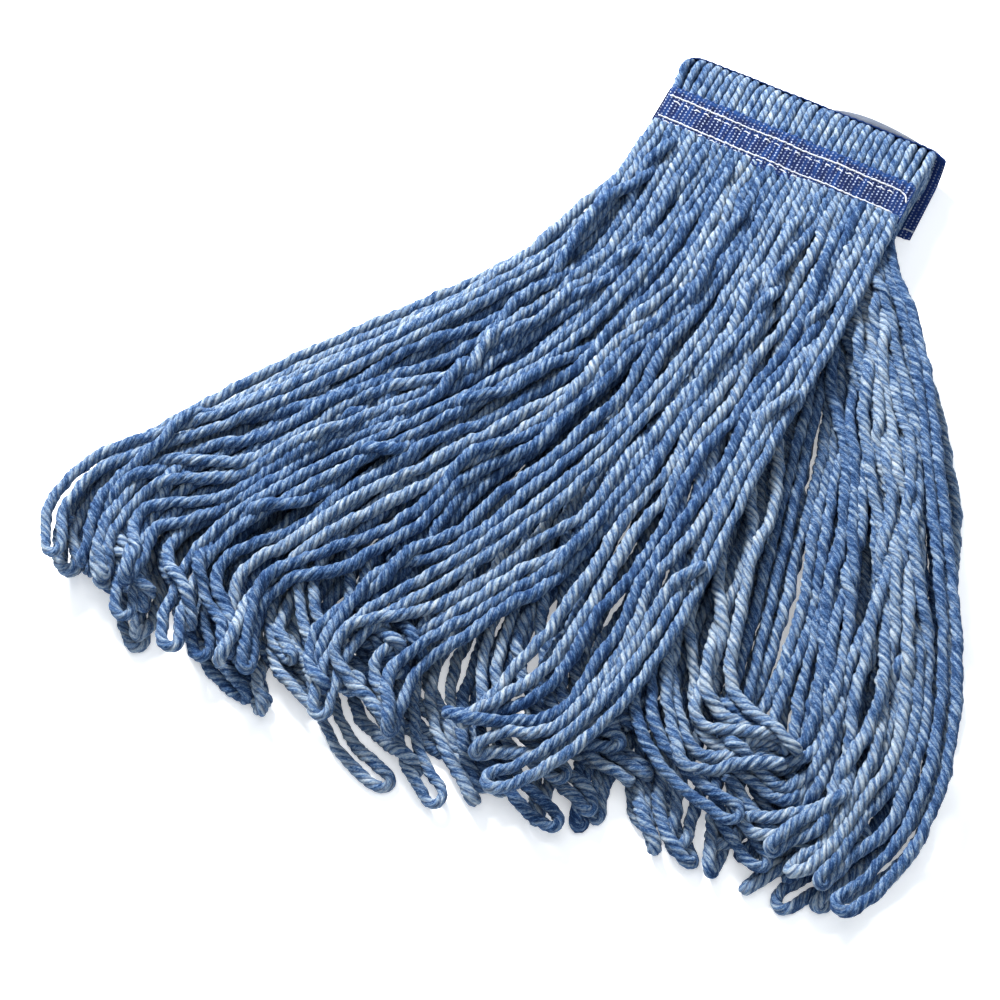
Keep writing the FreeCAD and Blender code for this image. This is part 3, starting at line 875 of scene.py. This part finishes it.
# ---- free strands
names, lines, singles = [], [], set()
for layer, (layer_name, locks) in enumerate(LOCKS.items()):
    field = waves(CLUMPING[layer])
    amount, most_curl, gather = REAR_LAY if layer < LAYERS_PER_HALF else FRONT_LAY
    for letter, (guide, turn, radius, tips, tip_spacing) in locks.items():
        first_x = math.copysign(12 if abs(guide[0][0]) == 58 else 4, guide[0][0]) * PITCH
        guide = curled([(first_x, FREE_START_Y)] + guide[1:], turn, radius)
        alone = SINGLE.get(layer_name, {}).get(letter)
        curl = math.copysign(rng.uniform(-0.1, most_curl), turn)
        drift = DRIFT.get((layer_name, letter), (0, 0))
        for number, tip in enumerate(tips):
            route = loop_route(guide, number, tip, tip_spacing, layer)
            if number == alone:
                route = loosened(route)
            points = spline_points(route)
            ahead = np.array([[points[0][0], UNDER_TAPE_Y, points[0][2]]])
            after = np.array([[points[-1][0], UNDER_TAPE_Y, points[-1][2]]])
            points = resample(np.concatenate([ahead, points, after]), LAY_STEP)
            if number == alone:
                singles.add(len(lines))
                names.append("loop_%s_%s" % (layer_name, letter))
                lines.append(points)
            else:
                names.append("lock_%s_%s" % (layer_name, letter))
                shift = (gather * ((number - 1.5) * 2 * tip_spacing), 0.9 * gather)
                lines.append(wander(points, field, amount, curl, shift, drift))

lines = settle(lines, singles, SETTLE_ROUNDS)

for name in dict.fromkeys(names):
    mine = [lines[i] for i, n in enumerate(names) if n == name]
    if name.startswith("loop_"):
        obj = rope("yarn_" + name, mine, kink=0.24, fuzz=0.12)
    else:
        obj = rope("yarn_" + name, mine, ridge=LIMP_RIDGE_R, valley=LIMP_VALLEY_R)
    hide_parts(name)
    if "_front_" in name:
        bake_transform(obj)
    else:
        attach(obj, "base")


# ---- headband yarns
def fold_point(radius, degrees):
    """(y, z) of a point of the fold."""
    a = math.radians(degrees)
    return FOLD_Y + radius * math.cos(a), FOLD_Z + radius * math.sin(a)


def rounding(x):
    """How far the crest falls back near the headband's ends."""
    left = max(0.0, CREST_LEFT - x) / 12.0
    right = max(0.0, x - CREST_RIGHT) / 12.0
    return 2.2 * left ** 2 + 1.8 * right ** 2


def band_line(x, radius, part, lean):
    """The centre line of one headband yarn: its front or rear run, or its turn in the fold."""
    run = np.linspace(BAND_END, FOLD_Y - 2, RUN_POINTS)
    line = [(x, y, FOLD_Z - radius) for y in run]
    line += [(x, *fold_point(radius, d)) for d in range(-90, 91, TURN_STEP)]
    line += [(x, y, FOLD_Z + radius) for y in run[::-1]]
    line = np.array(line)
    line[:, 1] -= rounding(x) * np.clip((line[:, 1] - FOLD_Y + 12) / 20.0, 0, 1)
    over = np.exp(-((line[:, 1] - FOLD_Y - 8) / 12.0) ** 2)
    bulge = np.exp(-((line[:, 1] - FOLD_Y) / 16.0) ** 2)
    line[:, 0] += lean * over
    outwards = 2.6 * max(0.0, x - CREST_RIGHT) / 8.0 - 3.2 * max(0.0, CREST_LEFT - x) / 9.0
    line[:, 0] += outwards * bulge
    low, high = [RUN_POINTS + (d + 90) // TURN_STEP for d in FOLD_PART_DEG]
    if part == "fold":
        return line[low - 1:high + 1]
    return line[:low + 1] if part == "rear" else line[high - 1:][::-1]


for depth, name in enumerate(("inner", "middle", "outer")):
    radius = SLIT / 2 + (depth + 0.5) * YARN_D
    columns = [(i - (YARNS_ACROSS - 1) / 2) * PITCH for i in range(YARNS_ACROSS)]
    leans = rng.uniform(-0.7, 0.7, YARNS_ACROSS)
    tones = rng.uniform(0.2, 0.85, YARNS_ACROSS)
    rng.uniform(0, 1000, YARNS_ACROSS)      # keeps the later draws in order
    for part, body in (("front", "headband_front"), ("rear", "base"), ("fold", None)):
        obj = rope("yarn_band_%s_%s" % (part, name),
                   [band_line(x, radius, part, lean) for x, lean in zip(columns, leans)],
                   sides=16 if name == "outer" else 12, ridge=BAND_RIDGE_R, tones=tones, kink=0.1)
        if body:
            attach(obj, body)
            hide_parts("band_yarns_%s_%s" % (part, name))
        else:
            low = fold_point(radius, -OVERLAP_DEG)
            high = fold_point(radius, OVERLAP_DEG)
            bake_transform(obj)


# ---- tapes
def follow(x, seed):
    """How far the cloth stands out or lies in as it passes over the yarns under it."""
    phase = (x / PITCH + 0.5) * 2 * math.pi
    tight = 0.5 + 0.5 * np.sin(x / 23.0 + seed) * np.sin(x / 9.0 + 2 * seed)
    return 0.30 * np.cos(phase) * (0.4 + 0.9 * tight) + 0.16 * np.sin(x / 6.1 + seed)


def cloth(name, grid, thickness, up):
    """A closed sheet from grids of its outer points, their outward normals and cloth places.

    A cloth place is how far along and up the sheet a point is, in mm, and as a share of the way
    to the worn edge, which is 0 where the cloth has no flecks.
    """
    outer, normal, place = grid
    rows, cols = outer.shape[:2]
    inner = outer - normal * thickness
    places = np.concatenate([outer.reshape(-1, 3), inner.reshape(-1, 3)]) * MM
    i = np.arange(rows - 1)[:, None]
    j = np.arange(cols - 1)[None, :]
    top = np.stack([i * cols + j, i * cols + j + 1, (i + 1) * cols + j + 1, (i + 1) * cols + j],
                   -1).reshape(-1, 4)
    if up:
        top = top[:, ::-1]
    shift = rows * cols
    rim = ([(0, c) for c in range(cols)] + [(r, cols - 1) for r in range(1, rows)]
           + [(rows - 1, c) for c in range(cols - 2, -1, -1)]
           + [(r, 0) for r in range(rows - 2, 0, -1)])
    rim = np.array([r * cols + c for r, c in rim])
    after = np.roll(rim, -1)
    side = np.stack([rim, rim + shift, after + shift, after], -1)
    if up:
        side = side[:, ::-1]
    faces = np.concatenate([top, top[:, ::-1] + shift, side])
    mesh = bpy.data.meshes.new(name)
    mesh.from_pydata(places.tolist(), [], faces.tolist())
    mesh.update()
    mesh.shade_smooth()
    values = mesh.attributes.new("cloth", "FLOAT_VECTOR", "POINT")
    both = np.concatenate([place.reshape(-1, 3), place.reshape(-1, 3)])
    values.data.foreach_set("vector", both.ravel())
    mesh.materials.append(TAPE)
    obj = linked(name, mesh)
    return obj


def corner_cut(end, corner):
    """How much a rounded corner takes off the sheet at a distance from the sheet's end."""
    return corner - math.sqrt(max(corner ** 2 - (corner - end) ** 2, 0)) if end < corner else 0.0


def front_edge(x):
    """y of the front tape's upper edge."""
    return -22.0 + TAPE_H - (x + TAPE_HALF_LENGTH) * 1.9 / (2 * TAPE_HALF_LENGTH)


# the front tape
xs = np.arange(-TAPE_HALF_LENGTH, TAPE_HALF_LENGTH + 0.01, 0.5)
ts = np.linspace(0, 1, 60)
outer = np.empty((len(ts), len(xs), 3))
place = np.zeros_like(outer)
for k, x in enumerate(xs):
    cut = corner_cut(TAPE_HALF_LENGTH - abs(x), CORNER)
    high = front_edge(x) + 0.35 * math.cos((x / PITCH + 0.5) * 2 * math.pi) - cut
    high += 0.25 * math.sin(x * 2.3) + 0.25 * math.sin(x * 0.71 + 1)
    low = front_edge(x) - TAPE_H + 0.2 * math.sin(x * 1.7) + cut
    outer[:, k, 0] = x
    outer[:, k, 1] = low + (high - low) * ts
    outer[:, k, 2] = 2 * FOLD_R - 0.1 + follow(x, 1.0) * (0.75 + 0.25 * np.cos(ts * 9.0))
    place[:, k] = np.stack([np.full(len(ts), x), (high - low) * ts, ts], 1)
outer[:, :, 2] -= 1.0 * np.clip((ts - 0.95) / 0.05, 0, 1)[:, None] ** 2
normal = np.zeros_like(outer)
normal[:, :, 2] = 1
front = cloth("cloth_front_tape", (outer, normal, place), FRONT_CLOTH_T, False)
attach(front, "headband_front")
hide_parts("front_tape")

# the rear tape: flat on the ground, then round the fold
flat_part = FOLD_Y - REAR_LOWER_Y
turn_part = math.radians(90 + HINGE_DEG + LIP_DEG) * FOLD_R
xs = np.arange(REAR_LEFT, REAR_RIGHT + 0.01, 0.6)
ds = np.linspace(0, flat_part + turn_part, 84)
outer = np.empty((len(ds), len(xs), 3))
normal = np.zeros_like(outer)
place = np.zeros_like(outer)
for k, x in enumerate(xs):
    end = min(x - REAR_LEFT, REAR_RIGHT - x)
    cut = corner_cut(end, REAR_CORNERS[1] if x > 0 else REAR_CORNERS[0])
    reach = flat_part + turn_part - cut * 0.8
    low = 0.15 * math.sin(x * 1.9) + 0.3 * max(3.0 - end, 0)
    for r, d in enumerate(low + (reach - low) * ds / ds[-1]):
        stand = 0.6 * follow(x, 2.0)
        if d < flat_part:
            outer[r, k] = (x, REAR_LOWER_Y + d, 0.02)
            normal[r, k] = (0, 0, -1)
        else:
            a = -math.pi / 2 + (d - flat_part) / FOLD_R
            normal[r, k] = (0, math.cos(a), math.sin(a))
            grow = min((d - flat_part) / 12.0, 1.0)
            radius = FOLD_R + stand * grow
            outer[r, k] = (x, FOLD_Y + radius * math.cos(a), FOLD_Z + radius * math.sin(a))
            outer[r, k, 1] -= rounding(x) * min((d - flat_part) / 20.0, 1.0)
        place[r, k] = (x, d, 0.2 if d < ds[-1] - PLAIN_LIP else 0.0)
rear = cloth("cloth_rear_tape", (outer, normal, place), REAR_CLOTH_T, True)
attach(rear, "base")
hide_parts("rear_tape")


# ---- stitching
def seam(drop):
    """(x, y) points of a line drop below the front tape's upper edge."""
    places = (-76, -55, -33, -12, 10, 31, 53, 73)
    sway = (0, 0.5, -0.4, 0.3, -0.5, 0.4, -0.2, 0.0)
    return [(x, front_edge(x) - drop + w) for x, w in zip(places, sway)]


def sewn(line, stitch=3.3, dip=0.28):
    """A seam's thread on the front tape: it lies on the cloth and dips in at each stitch."""
    line = np.array([(x, y, 0.0) for x, y in line])
    line = resample(smooth(resample(line, 1.5), 8), 0.4)
    at = np.arange(len(line)) * 0.4
    line[:, 2] = 2 * FOLD_R + 0.12 + follow(line[:, 0], 1.0) * 0.9
    line[:, 2] -= dip * np.abs(np.cos(at / stitch * math.pi)) ** 6
    line[:, 1] += 0.16 * np.sin(at / 5.1) + 0.1 * np.sin(at / 1.7)
    return line


def thread(name, lines, node, body, ridge):
    """Twisted white thread as one piece."""
    obj = rope(name, lines, sides=8, step=0.45, plies=2, ridge=ridge, valley=ridge * 0.72,
               pitch=2.4, material=THREAD, kink=0.0, fuzz=0.0)
    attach(obj, body)
    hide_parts(node)
    return obj


upper, lower = seam(UPPER_SEAM), seam(LOWER_SEAM)
upper += [(76, upper[-1][1] - 2.5), (77, upper[-1][1] - 6.5)]
lower += [(75.5, lower[-1][1] - 1.6), (76.8, lower[-1][1] - 4.0)]
thread("thread_front_upper", [sewn(upper)], "stitch_front_upper", "headband_front", 0.56)
thread("thread_front_lower", [sewn(lower)], "stitch_front_lower", "headband_front", 0.52)


def dashes(line, drop, step, long, last):
    """Short stitches of the second needle, drop below a seam, dipping into the cloth."""
    found = []
    x = line[0][0] + 4
    while x < last:
        for a, b in zip(line, line[1:]):
            if a[0] <= x <= b[0]:
                y = a[1] + (b[1] - a[1]) * (x - a[0]) / (b[0] - a[0]) - drop
                tilt = rng.uniform(-0.9, 0.9)
                size = long * rng.uniform(0.7, 1.1)
                at = np.linspace(0, 1, 12)
                right = x + size * at
                up = y + tilt * (at - 0.5) + 0.3 * np.sin(at * 5)
                out = 2 * FOLD_R - 0.45 + 0.6 * np.sin(at * math.pi) + follow(right, 1.0) * 0.9
                found.append(np.stack([right, up, out], 1))
                break
        x += step
    return found


thread("thread_front_upper_under", dashes(upper, 3.4, 6.5, 4.6, 66), "stitch_front_upper_under",
       "headband_front", 0.42)
thread("thread_front_lower_under", dashes(lower, 2.6, 7.5, 4.8, 54), "stitch_front_lower_under",
       "headband_front", 0.40)
tail = [(70.5, -1.2, -0.5), (69.0, -1.8, 0.1), (66.5, -1.4, 0.5), (63.5, -1.8, 0.8),
        (60.5, -3.4, 0.7)]
tail = np.array([(x, lower[7][1] + y, 2 * FOLD_R + z) for x, y, z in tail])
thread("thread_loose_tail", [smooth(resample(tail, 0.6), 6)], "thread_tail", "headband_front",
       0.42)

lip = np.array([(x, *fold_point(FOLD_R + 0.25 + 0.6 * follow(x, 2.0), LIP_STITCH_DEG))
                for x in np.arange(REAR_LEFT + 4, REAR_RIGHT - 3, 0.8)])
thread("thread_rear_lip", [lip], "stitch_rear_lip", "base", 0.45)
shown = ((REAR_LEFT + 0.3, REAR_LEFT + 1.6), (TAPE_HALF_LENGTH + 0.6, REAR_RIGHT - 0.4))
ends = [np.array([(x, REAR_LOWER_Y + 6, TAPE_T + 0.3) for x in np.linspace(a, b, 9)])
        for a, b in shown]
thread("thread_rear_lower", ends, "stitch_rear_lower", "base", 0.45)

# ---- label
xs = np.linspace(LABEL_X[0], LABEL_X[1], 57)
hs = np.linspace(0, 1, 16)
outer = np.empty((len(hs), len(xs), 3))
normal = np.zeros_like(outer)
for k, x in enumerate(xs):
    across = (x - LABEL_X[0]) / (LABEL_X[1] - LABEL_X[0])
    high = LABEL_Z[1] + 1.3 - 5.6 * abs(2 * across - 0.95) ** 2.0
    bow = 0.35 * math.sin(across * 7.0)
    outer[:, k, 0] = x
    outer[:, k, 1] = FOLD_Y + FOLD_R + 0.3 + LABEL_T + (bow + 1.1 * hs) * hs
    outer[:, k, 2] = LABEL_Z[0] + (high - LABEL_Z[0]) * hs
normal[:, :, 1] = 1
tag = cloth("cloth_label", (outer, normal, np.zeros_like(outer)), LABEL_T * 0.9, True)
tag.data.materials[0] = LABEL
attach(tag, "label")
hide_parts("label_tag")
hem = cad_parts["label_hem"]
hem.data.materials.clear()
hem.data.materials.append(LABEL)
